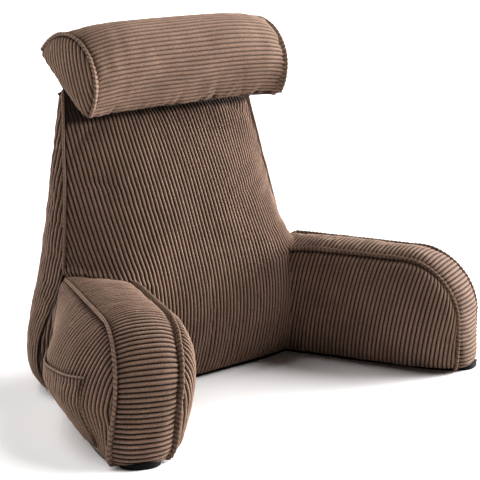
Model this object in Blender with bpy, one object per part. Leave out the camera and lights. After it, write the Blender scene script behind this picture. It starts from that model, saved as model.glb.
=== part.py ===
# Reading pillow with arms: a wedge-shaped back cushion, two splayed arm cushions, a half-round
# headrest bolster, raised sewn flanges along the seams, one patch pocket and a flat base.
# Metres, +Z up, the open front faces -Y. The origin is on the floor under the middle of the pillow.

import math

import bmesh
import bpy
import numpy as np

# Driving dimensions of the whole pillow
clearance = 0.0003  # gap left between two pieces that touch
cut_clearance = 0.0004  # an inflated guide comes a little closer than this at its edges
base_thickness = 0.003
cushion_floor = base_thickness + clearance  # lowest level of the filled cushions
depth_shift = -0.0086  # centres the whole pillow front to rear

# Arms: each is measured along its own length u, across its width w and up z
arm_root_x = 0.1750
arm_root_y = 0.0975
arm_splay = math.radians(23.1)
arm_reach = 0.3350  # from the root to the front of the seam
arm_nose_length = 0.0950  # length of the rounded front corner
arm_nose_height = 0.0990
arm_root_height = 0.1920
arm_front_height = 0.1890
arm_tuck = 0.003  # how far the front seam comes back at the floor
foot_round_height = 0.032  # the front corners round under below this level
foot_round_depth = 0.008  # and come back and in by this much at the floor
foot_round_inset = 0.013
foot_round_fade = 3  # the inset fades along the underside by this power
arm_lean = 0.118  # the top leans in by this share of the height
gusset_width = 0.094
gusset_crown = 0.012
gusset_root_crown = 0.002  # nearly flat where the arm meets the back
gusset_foot_crown = 0.020
outer_bulge = 0.058
outer_crest = 0.180  # the outer panel is a dome, fullest this far out from the root
outer_root_bulge = 0.012
outer_nose_fall = 0.3  # share of the dome that is lost by the front of the seam
outer_flat_height = 0.080  # below this level the dome is flatter, by this power
outer_flatness = 0.5
inner_bulge = 0.038
inner_root_bulge = 0.016
outer_fullness = 0.75  # a lower power swells a side panel closer to its seam
inner_fullness = 0.4
crown_fade_height = 0.03  # the gusset's crown fades out this far above the floor
arm_overlap = 0.055  # length of arm inside the back before it is cut
arm_overlap_inset = 0.034
arm_overlap_drop = 0.022
root_rows = 4  # sections along each stretch of the arm
top_rows = 12
nose_rows = 10
front_rows = 8
panel_points = 12  # points of one section from the floor up to a seam
gusset_points = 11
panel_crowding = 0.9
inner_flange_start = 0.035  # the flanges start this far out from the root
outer_flange_start = 0.010

# Back cushion: one row for each level, half widths and depths of its two sewn edges
back_columns = ("z", "front_half", "front_y", "middle_y", "crown_power", "rear_half", "rear_y")
back_table = (
    (cushion_floor, 0.254, 0.137, 0.0620, 6.0, 0.213, 0.2210),
    (0.0220, 0.268, 0.145, 0.0510, 5.4, 0.226, 0.2250),
    (0.0640, 0.276, 0.152, 0.0385, 5.0, 0.236, 0.2270),
    (0.1050, 0.270, 0.148, 0.0335, 5.4, 0.236, 0.2250),
    (0.1450, 0.255, 0.141, 0.0345, 7.0, 0.232, 0.2210),
    (0.1850, 0.2375, 0.1355, 0.0440, 7.6, 0.225, 0.2180),
    (0.2190, 0.229, 0.1400, 0.0575, 5.2, 0.219, 0.2160),
    (0.2650, 0.221, 0.1490, 0.0765, 3.4, 0.211, 0.2135),
    (0.3280, 0.210, 0.1610, 0.1045, 2.5, 0.201, 0.2110),
    (0.3950, 0.200, 0.1755, 0.1400, 2.3, 0.192, 0.2080),
    (0.4450, 0.192, 0.1855, 0.1710, 2.4, 0.186, 0.2055),
    (0.4650, 0.189, 0.1900, 0.1850, 2.6, 0.184, 0.2035),
    (0.4740, 0.186, 0.1930, 0.1905, 2.6, 0.183, 0.2005),
    (0.4772, 0.183, 0.1960, 0.1950, 2.6, 0.181, 0.1980),
)
crown_fullness = 0.85
back_side_bulge = 0.010
full_side_depth = 0.05  # a side panel at least this deep swells fully
back_rear_bulge = 0.014
full_rear_depth = 0.06  # a back at least this deep swells fully at the rear
back_levels = 24
front_columns = 31  # points across the front panel
side_columns = 5
rear_columns = 11
end_crowding = 0.35  # share of the levels that crowd towards the top and the floor

# Headrest bolster: a half-round section on a flat chord, tilted to rest on the top of the back
headrest_half_length = 0.1970
headrest_front = (0.1128, 0.4381)  # lower front corner of the chord, as y and z
headrest_rear = (0.2283, 0.5304)  # upper rear corner of the chord
headrest_sag = 0.082
headrest_under_bulge = 0.0165
headrest_end_flat = 0.55  # the underside swells this much at the ends
headrest_end_bulge = 0.013
headrest_belly = 0.023  # the middle is this much fuller than the sewn ends
headrest_draw = 0.008  # the lower front edge draws in by this much in the middle
belly_power = 0.7
arc_power = 0.9
arc_points = 19  # points of one section round the top, then along the underside
chord_points = 9
headrest_sections = 15
end_ring_shares = (0.45, 0.8)  # sizes of the rings on the swollen ends
end_centre_share = 0.4

# Raised flanges along the seams
flange_height = 0.0060
flange_thickness = 0.0025
flange_gap = 0.0006
headrest_flange_turn = 1.2  # the headrest's flanges lean out past its ends by this share
back_flange_height = 0.0048
back_flange_foot = 0.201  # the back's flanges run between these two levels
back_flange_top = 0.467

# Patch pocket on the outer side of the left arm
pocket_start = 0.020
pocket_end = 0.291
pocket_foot = 0.018
pocket_mouth_rear = 0.103
pocket_mouth_front = 0.123
pocket_thickness = 0.002
pocket_gap = 0.0012
pocket_gape = 0.0028
gape_power = 0.7  # a lower power opens the mouth over more of its length
mouth_sag = 1.6  # the mouth hangs below a straight line by this power
pocket_columns = 19
pocket_rows = 9

base_inset = 0.002
tape_width = 0.024
tape_thickness = 0.003
tape_half_length = 0.186
tape_gap = 0.0009  # the flat tape clears the rounded underside of the headrest
tape_seat = 0.62  # where the tape lies along the chord, from the front corner

brown = (0.130, 0.085, 0.062, 1.0)
black = (0.012, 0.012, 0.013, 1.0)
pile_roughness = 0.95
base_roughness = 0.8
tape_roughness = 0.9
smooth_angle = math.radians(35.0)  # faces that meet at less than this are shaded as one


def clear_scene():
    for item in list(bpy.data.objects):
        bpy.data.objects.remove(item, do_unlink=True)


def new_collection(name):
    collection = bpy.data.collections.new(name)
    bpy.context.scene.collection.children.link(collection)
    return collection


def cloth_material(name, color, roughness):
    material = bpy.data.materials.new(name)
    material.use_nodes = True
    shader = material.node_tree.nodes["Principled BSDF"]
    shader.inputs["Base Color"].default_value = color
    shader.inputs["Roughness"].default_value = roughness
    shader.inputs["Metallic"].default_value = 0.0
    material.diffuse_color = color
    return material


def add_mesh_object(name, mesh_data, collection, color=brown, roughness=pile_roughness):
    mesh = bpy.data.meshes.new(name)
    mesh_data.to_mesh(mesh)
    mesh_data.free()
    mesh.shade_smooth()
    mesh.set_sharp_from_angle(angle=smooth_angle)
    mesh.materials.append(cloth_material(name + "_cloth", color, roughness))
    piece = bpy.data.objects.new(name, mesh)
    piece.location.y = depth_shift
    collection.objects.link(piece)
    return piece


def ring_loft(rings):
    """A closed body from rings of equal length, with a flat cap on the first and the last."""
    body = bmesh.new()
    rows = [[body.verts.new(point) for point in ring] for ring in rings]
    count = len(rows[0])
    for low, high in zip(rows, rows[1:]):
        for k in range(count):
            after = (k + 1) % count
            body.faces.new((low[k], low[after], high[after], high[k]))
    body.faces.new(rows[0][::-1])
    body.faces.new(rows[-1])
    bmesh.ops.recalc_face_normals(body, faces=body.faces)
    return body


def triangulate(body):
    bmesh.ops.triangulate(body, faces=body.faces)
    return body


def unit(vectors):
    vectors = np.asarray(vectors, float)
    return vectors / np.maximum(np.linalg.norm(vectors, axis=-1, keepdims=True), 1e-12)


def spread_ends(count):
    """Shares from 0 to 1 that lie closer together at both ends."""
    return 0.5 - 0.5 * np.cos(np.linspace(0.0, math.pi, count))


# Back cushion


def back_row(level):
    """The named sizes of the back cushion at one height, on smooth curves through its table."""
    table = np.array(back_table)
    heights = table[:, 0]
    k = int(np.clip(np.searchsorted(heights, level) - 1, 0, len(heights) - 2))
    slopes = np.gradient(table, heights, axis=0)
    step = heights[k + 1] - heights[k]
    t = (level - heights[k]) / step
    row = (
        (2 * t**3 - 3 * t**2 + 1) * table[k]
        + (t**3 - 2 * t**2 + t) * step * slopes[k]
        + (3 * t**2 - 2 * t**3) * table[k + 1]
        + (t**3 - t**2) * step * slopes[k + 1]
    )
    return dict(zip(back_columns, row))


def back_front_y(row, share):
    """Depth of the crowned front panel at a share of its half width."""
    fullness = (1.0 - np.abs(share) ** row["crown_power"]) ** crown_fullness
    return row["front_y"] - (row["front_y"] - row["middle_y"]) * fullness


def back_outline(level):
    row = back_row(level)
    points = []
    for share in 2.0 * spread_ends(front_columns) - 1.0:
        points.append((row["front_half"] * share, back_front_y(row, share)))
    front_corner = np.array((row["front_half"], row["front_y"]))
    rear_corner = np.array((row["rear_half"], row["rear_y"]))
    side_depth = np.linalg.norm(rear_corner - front_corner)
    along = (rear_corner - front_corner) / side_depth
    outward = np.array((along[1], -along[0]))
    bulge = back_side_bulge * min(1.0, side_depth / full_side_depth)
    sides = []
    for t in np.linspace(0.0, 1.0, side_columns)[1:]:
        sides.append(front_corner + along * side_depth * t + outward * bulge * 4 * t * (1 - t))
    points.extend(tuple(point) for point in sides)
    rear_bulge = back_rear_bulge * min(1.0, (row["rear_y"] - row["middle_y"]) / full_rear_depth)
    for share in np.linspace(1.0, -1.0, rear_columns)[1:-1]:
        points.append((row["rear_half"] * share, row["rear_y"] + rear_bulge * (1.0 - share**2)))
    points.extend((-x, y) for x, y in reversed(sides))
    return points


def back_heights():
    low, high = back_table[0][0], back_table[-1][0]
    even = np.linspace(0.0, 1.0, back_levels)
    shares = spread_ends(back_levels) * end_crowding + even * (1.0 - end_crowding)
    return low + (high - low) * shares


def build_back(collection):
    rings = [[(x, y, level) for x, y in back_outline(level)] for level in back_heights()]
    return add_mesh_object("back_cushion", triangulate(ring_loft(rings)), collection)


# Arms


def arm_point(side, u, w, z):
    across = w - arm_lean * z
    x = arm_root_x + u * math.sin(arm_splay) + across * math.cos(arm_splay)
    y = arm_root_y - u * math.cos(arm_splay) + across * math.sin(arm_splay)
    return (side * x, y, z)


def arm_stations():
    """Rows of (u, z, spine) down the middle of the gusset: over the top, round the nose, to the floor."""
    straight_end = arm_reach - arm_nose_length
    rows = []
    inside = np.linspace(-arm_overlap, 0.0, root_rows)[:-1]
    for u in np.concatenate((inside, np.linspace(0.0, straight_end, top_rows))):
        drop = arm_overlap_drop * max(0.0, -u / arm_overlap)
        height = arm_root_height + (arm_front_height - arm_root_height) * u / straight_end
        rows.append((u, height - drop, u))
    for angle in np.linspace(0.0, math.pi / 2, nose_rows)[1:]:
        u = straight_end + arm_nose_length * math.sin(angle)
        z = arm_front_height - arm_nose_height * (1.0 - math.cos(angle))
        rows.append((u, z, straight_end))
    nose_bottom = arm_front_height - arm_nose_height
    for t in np.sin(np.linspace(0.0, math.pi / 2, front_rows))[1:]:
        z = nose_bottom + (cushion_floor - nose_bottom) * t
        rows.append((arm_reach - arm_tuck * t**2 - foot_round_depth * foot_round(z), z, straight_end))
    return rows


def foot_round(z):
    """A quarter round from 0 at the top of the foot to 1 at the floor."""
    t = min(1.0, max(0.0, 1.0 - (z - cushion_floor) / foot_round_height))
    return 1.0 - math.sqrt(1.0 - t * t)


def station_normals(rows):
    path = np.array([(u, z) for u, z, _ in rows])
    tangent = unit(np.gradient(path, axis=0))
    return np.stack((-tangent[:, 1], tangent[:, 0]), axis=1)


def side_swell(ray_share, z, fullness):
    """Share of a side panel's bulge: none on its seam or on the floor, all in the middle."""
    return np.clip(4.0 * (1.0 - ray_share) * z / arm_root_height, 0.0, 1.0) ** fullness


def outer_swell(u, ray_share, z):
    """The outer panel is a dome: it rises from the root to its crest and stays flatter near the floor."""
    crestward = min(1.0, max(0.0, u / outer_crest))
    rise = crestward * crestward * (3.0 - 2.0 * crestward)
    noseward = min(1.0, max(0.0, (u - outer_crest) / (arm_reach - outer_crest)))
    amount = outer_root_bulge + (outer_bulge - outer_root_bulge) * rise
    low_share = min(1.0, max(0.0, z / outer_flat_height)) ** outer_flatness
    return amount * (1.0 - outer_nose_fall * noseward**2) * low_share * side_swell(ray_share, z, outer_fullness)


def inner_swell(u, ray_share, z):
    """The inner panel grows fuller from the back towards the nose."""
    noseward = min(1.0, max(0.0, u / (arm_reach - arm_nose_length)))
    amount = inner_root_bulge + (inner_bulge - inner_root_bulge) * noseward
    return amount * side_swell(ray_share, z, inner_fullness)


def top_crown(u, z):
    """Height of the gusset's crown: low at the root, fuller at the foot."""
    rootward = max(0.0, 1.0 - max(u, 0.0) / (arm_reach - arm_nose_length))
    nose_bottom = arm_front_height - arm_nose_height
    footward = max(0.0, 1.0 - (z - cushion_floor) / (nose_bottom - cushion_floor))
    crown = gusset_crown + (gusset_root_crown - gusset_crown) * rootward**2
    return crown + (gusset_foot_crown - gusset_crown) * footward


def arm_ring(side, row, normal):
    u, z, spine = row
    root_inset = arm_overlap_inset * max(0.0, -u / arm_overlap)
    foot_inset = foot_round_inset * foot_round(z)
    inset = root_inset + foot_inset
    shares = spread_ends(panel_points) ** panel_crowding
    ring = []

    def panel_point(share, swell, edge, outward):
        height = cushion_floor + (z - cushion_floor) * share
        along = spine + (u - spine) * share
        drawn_in = root_inset + foot_inset * share**foot_round_fade
        across = edge + outward * (swell(along, share, height - cushion_floor) - drawn_in)
        return arm_point(side, along, across, height)

    for share in shares[:-1]:
        ring.append(panel_point(share, inner_swell, 0.0, -1.0))
    fade = min(1.0, max(0.0, (z - cushion_floor) / crown_fade_height))
    for t in np.linspace(0.0, 1.0, gusset_points):
        crown = top_crown(u, z) * (1.0 - (2.0 * t - 1.0) ** 2)
        width = inset + (gusset_width - 2.0 * inset) * t
        height = z + crown * normal[1] * fade
        ring.append(arm_point(side, u + crown * normal[0], width, height))
    for share in shares[:-1][::-1]:
        ring.append(panel_point(share, outer_swell, gusset_width, 1.0))
    return ring


def arm_rings(side):
    rows = arm_stations()
    return [arm_ring(side, row, normal) for row, normal in zip(rows, station_normals(rows))]


def build_arm(name, side, cutter, collection):
    rings = arm_rings(side)
    # The last ring lies on the floor: its own face and the strips behind it make the flat underside.
    arm = add_mesh_object(name, triangulate(ring_loft(rings)), collection)
    cut = arm.modifiers.new("against_back", "BOOLEAN")
    cut.operation = "DIFFERENCE"
    cut.solver = "EXACT"
    cut.object = cutter
    return arm


def inflated_copy(piece, name, distance, collection):
    """A guide solid that stands a small distance proud of a piece, used to cut its neighbours."""
    body = bmesh.new()
    body.from_mesh(piece.data)
    body.normal_update()
    moves = [(vert, vert.normal.copy()) for vert in body.verts]
    for vert, normal in moves:
        vert.co += normal * distance
    cutter = add_mesh_object(name, body, collection)
    cutter.hide_render = True
    cutter.display_type = "WIRE"
    return cutter


# Headrest


def headrest_section(fullness):
    """Points of the half-round section in (y, z), the arc first and then the flat underside."""
    rear = np.array(headrest_rear)
    front = np.array(headrest_front)
    front = front + unit(rear - front) * headrest_draw * fullness
    middle = (front + rear) / 2
    half = (rear - front) / 2
    up = np.array((-half[1], half[0])) / np.linalg.norm(half)
    points = []
    swell = headrest_sag + headrest_belly * fullness
    for angle in np.linspace(0.0, math.pi, arc_points):
        points.append(middle - half * math.cos(angle) + up * swell * math.sin(angle) ** arc_power)
    share = headrest_end_flat + (1.0 - headrest_end_flat) * fullness
    for t in np.linspace(1.0, 0.0, chord_points)[1:-1]:
        bulge = headrest_under_bulge * share * 4 * t * (1 - t)
        points.append(front + (rear - front) * t - up * bulge)
    return points


def headrest_rings():
    centre = (np.array(headrest_front) + np.array(headrest_rear)) / 2
    half = np.array(headrest_rear) - np.array(headrest_front)
    centre = centre + np.array((-half[1], half[0])) / np.linalg.norm(half) * headrest_sag * end_centre_share

    def end_ring(side, share):
        x = side * (headrest_half_length + headrest_end_bulge * math.sqrt(1.0 - share**2))
        return [(x, *(centre + (point - centre) * share)) for point in headrest_section(0.0)]

    rings = [end_ring(-1.0, share) for share in end_ring_shares]
    for t in spread_ends(headrest_sections):
        x = headrest_half_length * (2.0 * t - 1.0)
        fullness = (1.0 - (2.0 * t - 1.0) ** 4) ** belly_power
        rings.append([(x, *point) for point in headrest_section(fullness)])
    rings.extend(end_ring(1.0, share) for share in end_ring_shares[::-1])
    return rings


def build_headrest(collection):
    return add_mesh_object("headrest", triangulate(ring_loft(headrest_rings())), collection)


# Flanges


def ribbon(name, base, direction, collection, height=flange_height):
    """A thin strip that stands on the seam points along the given directions."""
    base = np.asarray(base, float)
    direction = unit(direction)
    tangent = unit(np.gradient(base, axis=0))
    across = unit(np.cross(tangent, direction)) * flange_thickness / 2
    low = base + direction * flange_gap
    high = base + direction * (flange_gap + height)
    rings = [
        [tuple(p) for p in (low[k] - across[k], low[k] + across[k], high[k] + across[k], high[k] - across[k])]
        for k in range(len(base))
    ]
    return add_mesh_object(name, triangulate(ring_loft(rings)), collection)


def seam_direction(base, first, second, heart):
    """Halfway between the normals of the two surfaces that meet on a seam, away from the heart."""
    base, first, second = (np.asarray(points, float) for points in (base, first, second))
    tangent = unit(np.gradient(base, axis=0))
    toward_first = unit(np.cross(tangent, np.cross(first - base, tangent)))
    toward_second = unit(np.cross(tangent, np.cross(second - base, tangent)))
    halfway = np.cross(tangent, toward_first - toward_second)
    outward = np.sum(halfway * (base - heart), axis=1, keepdims=True)
    return unit(halfway * np.sign(outward))


def build_arm_flanges(word, side, collection):
    rings = np.array(arm_rings(side))
    rows = arm_stations()
    count = len(rings[0])
    inner = panel_points - 1
    outer = inner + gusset_points - 1
    for place, index, start in (("inner", inner, inner_flange_start), ("outer", outer, outer_flange_start)):
        first = next(k for k, row in enumerate(rows) if row[0] > start)
        seam = rings[first:-1, index]
        before = rings[first:-1, (index - 1) % count]
        after = rings[first:-1, (index + 1) % count]
        heart = (rings[first:-1, 0] + rings[first:-1, -1]) / 2
        ribbon(f"flange_{place}_{word}", seam, seam_direction(seam, before, after, heart), collection)


def build_back_flange(word, side, collection):
    levels = [level for level in back_heights() if back_flange_foot < level < back_flange_top]
    seam, before, after, heart = [], [], [], []
    for level in levels:
        outline = [np.array((side * x, y, level)) for x, y in back_outline(level)]
        corner = front_columns - 1
        seam.append(outline[corner])
        before.append(outline[corner - 1])
        after.append(outline[corner + 1])
        heart.append((0.0, outline[corner + 1][1], level))
    direction = seam_direction(seam, before, after, heart)
    ribbon(f"flange_back_{word}", seam, direction, collection, back_flange_height)


def build_headrest_flange(word, side, collection):
    rings = headrest_rings()
    if side > 0:
        rings = rings[::-1]
    # ring 2 is the sewn end; ring 1 lies on the end panel and ring 3 on the main panel
    seam, before, after = (np.array(rings[k])[0:arc_points] for k in (2, 1, 3))
    middle = (np.array(headrest_front) + np.array(headrest_rear)) / 2
    heart = np.array([(0.0, *middle)] * len(seam))
    direction = seam_direction(seam, before, after, heart)
    direction = direction + np.array((side * headrest_flange_turn, 0.0, 0.0))
    ribbon(f"flange_headrest_{word}", seam, direction, collection)


# Pocket, base and tape


def ray_share(u, z):
    """How far a point of the side panel lies from the floor spine towards the seam, 0 to 1."""
    straight_end = arm_reach - arm_nose_length
    if u <= straight_end:
        height = arm_root_height + (arm_front_height - arm_root_height) * u / straight_end
        return z / height
    rows = [row for row in arm_stations() if row[2] == straight_end][::-1]
    angles = [math.atan2(row[1], row[0] - straight_end) for row in rows]
    reaches = [math.hypot(row[1], row[0] - straight_end) for row in rows]
    angle = math.atan2(z, u - straight_end)
    return math.hypot(z, u - straight_end) / float(np.interp(angle, angles, reaches))


def outer_panel_point(side, u, z, lift):
    swell = outer_swell(u, ray_share(u, z), z - cushion_floor)
    return arm_point(side, u, gusset_width + swell + lift, z)


def build_pocket(collection):
    columns = np.linspace(0.0, 1.0, pocket_columns)
    rows = np.linspace(0.0, 1.0, pocket_rows)
    sheets = []
    for face in (0.0, pocket_thickness):
        sheet = []
        for t in rows:
            line = []
            for s in columns:
                u = pocket_start + (pocket_end - pocket_start) * s
                mouth = pocket_mouth_rear + (pocket_mouth_front - pocket_mouth_rear) * s**mouth_sag
                z = pocket_foot + (mouth - pocket_foot) * t
                gape = pocket_gape * t**3 * math.sin(math.pi * s) ** gape_power
                line.append(outer_panel_point(-1.0, u, z, pocket_gap + gape + face))
            sheet.append(line)
        sheets.append(sheet)
    body = bmesh.new()
    verts = [[[body.verts.new(point) for point in line] for line in sheet] for sheet in sheets]
    last_row, last_column = len(rows) - 1, len(columns) - 1
    for j in range(last_row):
        for i in range(last_column):
            for sheet in verts:
                body.faces.new((sheet[j][i], sheet[j][i + 1], sheet[j + 1][i + 1], sheet[j + 1][i]))
    border = [(0, i) for i in range(last_column)]
    border += [(j, last_column) for j in range(last_row)]
    border += [(last_row, i) for i in range(last_column, 0, -1)]
    border += [(j, 0) for j in range(last_row, 0, -1)]
    for (j, i), (n, m) in zip(border, border[1:] + border[:1]):
        body.faces.new((verts[0][j][i], verts[0][n][m], verts[1][n][m], verts[1][j][i]))
    bmesh.ops.recalc_face_normals(body, faces=body.faces)
    return add_mesh_object("pocket_left", triangulate(body), collection)


def prism(name, outline, low, high, collection, color=black):
    rings = [[(x, y, z) for x, y in outline] for z in (low, high)]
    return add_mesh_object(name, triangulate(ring_loft(rings)), collection, color, base_roughness)


def inset_outline(outline, distance):
    """Moves each point of a closed outline inwards, square to its neighbours."""
    points = np.array(outline)
    along = unit(np.roll(points, -1, axis=0) - np.roll(points, 1, axis=0))
    inward = np.stack((-along[:, 1], along[:, 0]), axis=1)
    area = np.sum(points[:, 0] * np.roll(points[:, 1], -1) - np.roll(points[:, 0], -1) * points[:, 1])
    return points + inward * distance * np.sign(area)


def arm_footprint(side):
    rings = arm_rings(side)
    rows = arm_stations()
    straight = [ring for ring, row in zip(rings, rows) if row[0] <= arm_reach - arm_nose_length]
    inner = [ring[0][:2] for ring in straight[:-1]]
    outer = [ring[-1][:2] for ring in straight[:-1]]
    nose = [point[:2] for point in rings[-1]]
    return inner + nose + outer[::-1]


def build_bases(parts, guides):
    floor_outline = back_outline(back_table[0][0])
    prism("base_back", inset_outline(floor_outline, base_inset), 0.0, base_thickness, parts)
    cutter_outline = inset_outline(floor_outline, base_inset - clearance)
    cutter = prism("base_guide", cutter_outline, -base_thickness, 2 * base_thickness, guides)
    cutter.hide_render = True
    cutter.display_type = "WIRE"
    for word, side in (("left", -1.0), ("right", 1.0)):
        outline = inset_outline(arm_footprint(side), base_inset)
        base = prism(f"base_arm_{word}", outline, 0.0, base_thickness, parts)
        cut = base.modifiers.new("against_back", "BOOLEAN")
        cut.operation = "DIFFERENCE"
        cut.solver = "EXACT"
        cut.object = cutter


def build_tape(collection):
    front = np.array(headrest_front)
    rear = np.array(headrest_rear)
    along = unit(rear - front)
    down = np.array((along[1], -along[0]))
    t = tape_seat
    seat = front + (rear - front) * t + down * headrest_under_bulge * 4 * t * (1 - t)
    slope = headrest_under_bulge * 4 * (1 - 2 * t) / np.linalg.norm(rear - front)
    along = unit(along + down * slope)
    down = np.array((along[1], -along[0]))
    top = seat + down * tape_gap
    corners = []
    for a, b in ((-0.5, 0.0), (0.5, 0.0), (0.5, 1.0), (-0.5, 1.0)):
        corners.append(top + along * tape_width * a + down * tape_thickness * b)
    rings = [[(x, *corner) for corner in corners] for x in (-tape_half_length, tape_half_length)]
    body = triangulate(ring_loft(rings))
    return add_mesh_object("headrest_tape", body, collection, black, tape_roughness)


def build_pillow():
    clear_scene()
    parts = new_collection("reading_pillow")
    guides = new_collection("guides")
    back = build_back(parts)
    cutter = inflated_copy(back, "back_guide", cut_clearance, guides)
    for word, side in (("left", -1.0), ("right", 1.0)):
        build_arm(f"arm_{word}", side, cutter, parts)
        build_arm_flanges(word, side, parts)
        build_back_flange(word, side, parts)
        build_headrest_flange(word, side, parts)
    build_headrest(parts)
    build_tape(parts)
    build_pocket(parts)
    build_bases(parts, guides)


build_pillow()
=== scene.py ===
import math

import bmesh
import bpy
import numpy as np
from mathutils import Matrix, Vector
from mathutils.bvhtree import BVHTree


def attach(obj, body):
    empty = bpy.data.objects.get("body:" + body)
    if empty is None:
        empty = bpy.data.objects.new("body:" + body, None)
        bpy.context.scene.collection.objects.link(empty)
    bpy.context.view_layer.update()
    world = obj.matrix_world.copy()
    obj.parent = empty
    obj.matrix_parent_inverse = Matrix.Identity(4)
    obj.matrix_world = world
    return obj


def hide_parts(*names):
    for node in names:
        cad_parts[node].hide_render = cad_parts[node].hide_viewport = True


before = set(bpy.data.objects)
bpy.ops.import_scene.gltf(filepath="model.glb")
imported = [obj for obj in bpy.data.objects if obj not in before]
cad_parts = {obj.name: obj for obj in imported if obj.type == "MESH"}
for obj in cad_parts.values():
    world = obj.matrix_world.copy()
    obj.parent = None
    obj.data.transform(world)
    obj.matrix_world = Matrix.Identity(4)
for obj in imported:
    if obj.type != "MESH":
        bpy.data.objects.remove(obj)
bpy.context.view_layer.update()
scene = bpy.context.scene

# Camera, in metres, at the photograph's angle
view = {"place": (-1.7399, -1.9334, 0.8399), "turn": -42.333, "drop": 13.064, "lens": 125.77, "sensor": 36.0}


def addCamera():
    turn, drop = math.radians(view["turn"]), math.radians(view["drop"])
    back = Vector((math.sin(turn) * math.cos(drop), -math.cos(turn) * math.cos(drop), math.sin(drop)))
    right = Vector((math.cos(turn), math.sin(turn), 0.0))
    data = bpy.data.cameras.new("camera")
    data.lens = view["lens"]
    data.sensor_width = view["sensor"]
    data.clip_end = 50.0
    camera = bpy.data.objects.new("camera", data)
    camera.matrix_world = Matrix.LocRotScale(
        Vector(view["place"]), Matrix((right, back.cross(right), back)).transposed().to_3x3(), None)
    scene.collection.objects.link(camera)
    scene.camera = camera


addCamera()

# Corduroy: widths of the wales, how finely they are meshed, and how uneven stuffed cloth is. A scale is the
# grain of the unevenness across the wales and along them.
corduroy = {
    "pitch": 0.0072, "height": 0.0024, "perWale": 8, "rowStep": 0.0065, "shortest": 0.002,
    "ridge": 0.80, "roundness": 2.0, "seamFade": 0.003, "seamHeight": 0.75, "tuck": 0.006,
    # seamShade and seamShadeReach: painted shade that darkens the cloth's colour beside every seam
    "groove": 0.0016, "grooveReach": 0.0030, "seamShade": 0.8, "seamShadeReach": 0.0034, "freeReach": 0.03,
    "wander": 0.0009, "wanderScale": (0.05, 0.09), "dent": 0.0014, "dentScale": (0.055, 0.07),
    "broadDentScale": (0.11, 0.13), "pucker": 0.0015, "puckerScale": (0.013, 0.013),
    "puckerReach": 0.022, "puckerStart": 0.004, "jitter": 0.10, "jitterScale": (0.0072, 0.02),
}

# The pillow's own sizes, as cut and stuffed
floorLevel = 0.0033
depthShift = -0.0086

backSizes = {
    # height, half width and depth of the front seam, depth of the crown, its power, rear half width and depth
    "rows": (
        (floorLevel, 0.254, 0.137, 0.0620, 6.0, 0.213, 0.2210),
        (0.0220, 0.268, 0.145, 0.0510, 5.4, 0.226, 0.2250),
        (0.0640, 0.276, 0.152, 0.0385, 5.0, 0.236, 0.2270),
        (0.1050, 0.270, 0.148, 0.0335, 5.4, 0.236, 0.2250),
        (0.1450, 0.255, 0.141, 0.0345, 7.0, 0.232, 0.2210),
        (0.1850, 0.2375, 0.1355, 0.0440, 7.6, 0.225, 0.2180),
        (0.2190, 0.229, 0.1400, 0.0575, 5.2, 0.219, 0.2160),
        (0.2650, 0.221, 0.1490, 0.0765, 3.4, 0.211, 0.2135),
        (0.3280, 0.210, 0.1610, 0.1045, 2.5, 0.201, 0.2110),
        (0.3950, 0.200, 0.1755, 0.1400, 2.3, 0.192, 0.2080),
        (0.4450, 0.192, 0.1855, 0.1710, 2.4, 0.186, 0.2055),
        (0.4650, 0.189, 0.1900, 0.1850, 2.6, 0.184, 0.2035),
        (0.4740, 0.186, 0.1930, 0.1905, 2.6, 0.183, 0.2005),
        (0.4772, 0.183, 0.1960, 0.1950, 2.6, 0.181, 0.1980),
    ),
    "fullness": 0.85, "sideBulge": 0.010, "sideDepth": 0.05, "rearBulge": 0.014, "rearDepth": 0.06,
    "flangeFoot": 0.195, "flangeTop": 0.473, "heart": (0.0, 0.14, 0.2),
}

arm = {
    "rootX": 0.1750, "rootY": 0.0975, "splay": math.radians(23.1), "reach": 0.3350,
    "noseLength": 0.0950, "noseHeight": 0.0990, "rootHeight": 0.1920, "frontHeight": 0.1890,
    "tuck": 0.003, "footHeight": 0.032, "footDepth": 0.008, "footInset": 0.013, "footFade": 3,
    "lean": 0.118, "width": 0.094, "crown": 0.012, "rootCrown": 0.005, "footCrown": 0.020,
    "outerBulge": 0.058, "outerCrest": 0.180, "outerRootBulge": 0.012, "outerFullness": 0.75,
    "outerNoseFall": 0.3, "outerFlatHeight": 0.080, "outerFlatness": 0.5,
    "innerBulge": 0.038, "innerRootBulge": 0.016, "innerFullness": 0.4, "fadeHeight": 0.03,
    "overlap": 0.055, "inset": 0.034, "drop": 0.022, "hiddenDepth": 0.009,
    # where an arm meets the back its inner edge sinks in
    "rootSag": 0.010, "sagLength": 0.10, "crownPower": 2.6,
    # how far the wales lean, at the floor and more towards the top
    "waleTilt": 0.24, "outerWaleTilt": 0.45, "outerWaleTurn": -1.9,
    # the outer panel's cloth is pulled wider towards the back
    "pullWidth": 1.5, "pullFrom": 0.14, "pullTo": 0.32,
}

armStraight = arm["reach"] - arm["noseLength"]  # where the nose begins
noseBottom = arm["frontHeight"] - arm["noseHeight"]
armHeart = (0.15, 0.047, 0.09)  # a place inside an arm

headrest = {
    "half": 0.1970, "front": (0.1128, 0.4381), "rear": (0.2283, 0.5304), "sag": 0.082, "under": 0.0165,
    "endFlat": 0.25, "endBulge": 0.013, "belly": 0.023, "draw": 0.008, "bellyPower": 0.7,
    "arcPower": 0.9, "centreShare": 0.4, "endWaleTilt": math.radians(17.0),
}


def unit(vectors):
    return vectors / np.maximum(np.linalg.norm(vectors, axis=-1, keepdims=True), 1e-9)


def lengthsAlong(points):
    steps = np.linalg.norm(np.diff(points, axis=-2), axis=-1)
    return np.concatenate((np.zeros(steps.shape[:-1] + (1,)), np.cumsum(steps, axis=-1)), axis=-1)


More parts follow.
